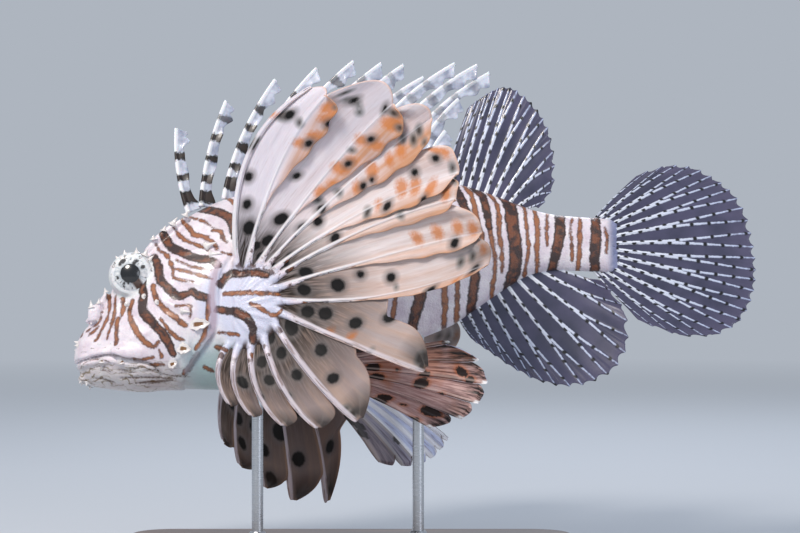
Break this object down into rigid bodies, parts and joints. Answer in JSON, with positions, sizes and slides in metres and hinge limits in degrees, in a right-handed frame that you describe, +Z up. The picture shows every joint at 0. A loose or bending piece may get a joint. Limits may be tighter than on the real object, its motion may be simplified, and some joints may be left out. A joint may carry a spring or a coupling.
{
  "type": "red lionfish",
  "caption": "Life-size red lionfish with fins spread, its striped body rolled a little belly outwards, held by two rods on a rounded flat base.",
  "frame": {"origin": "on the underside of the stand's base, below the middle of the fish's length", "axes": "+X from the snout to the tail, +Y to the fish's right, +Z up"},
  "size_m": [0.2999, 0.1735, 0.2218],
  "materials": {
    "skin": "moist satin, white with red-brown stripes",
    "paired_fin": "moist satin membrane, pale with dark spots or bands",
    "clear_fin": "thin dark membrane with white rays and black spots",
    "eye": "wet gloss, black pupil in a pale iris",
    "stand_wood": "satin lacquered walnut",
    "stand_steel": "brushed"
  },
  "bodies": {
    "root": {"head": "skin", "lower_jaw": "skin", "trunk": "skin", "tail_stem": "skin", "eye_left": "eye", "eye_right": "eye", "dorsal_fin_spiny": "paired_fin", "dorsal_fin_soft": "clear_fin", "caudal_fin": "clear_fin", "anal_fin": "clear_fin", "pectoral_fin_left": "paired_fin", "pectoral_fin_right": "paired_fin", "pelvic_fin_left": "paired_fin", "pelvic_fin_right": "paired_fin", "stand_base": "stand_wood", "stand_rod_front": "stand_steel", "stand_rod_rear": "stand_steel"}
  },
  "joints": []
}
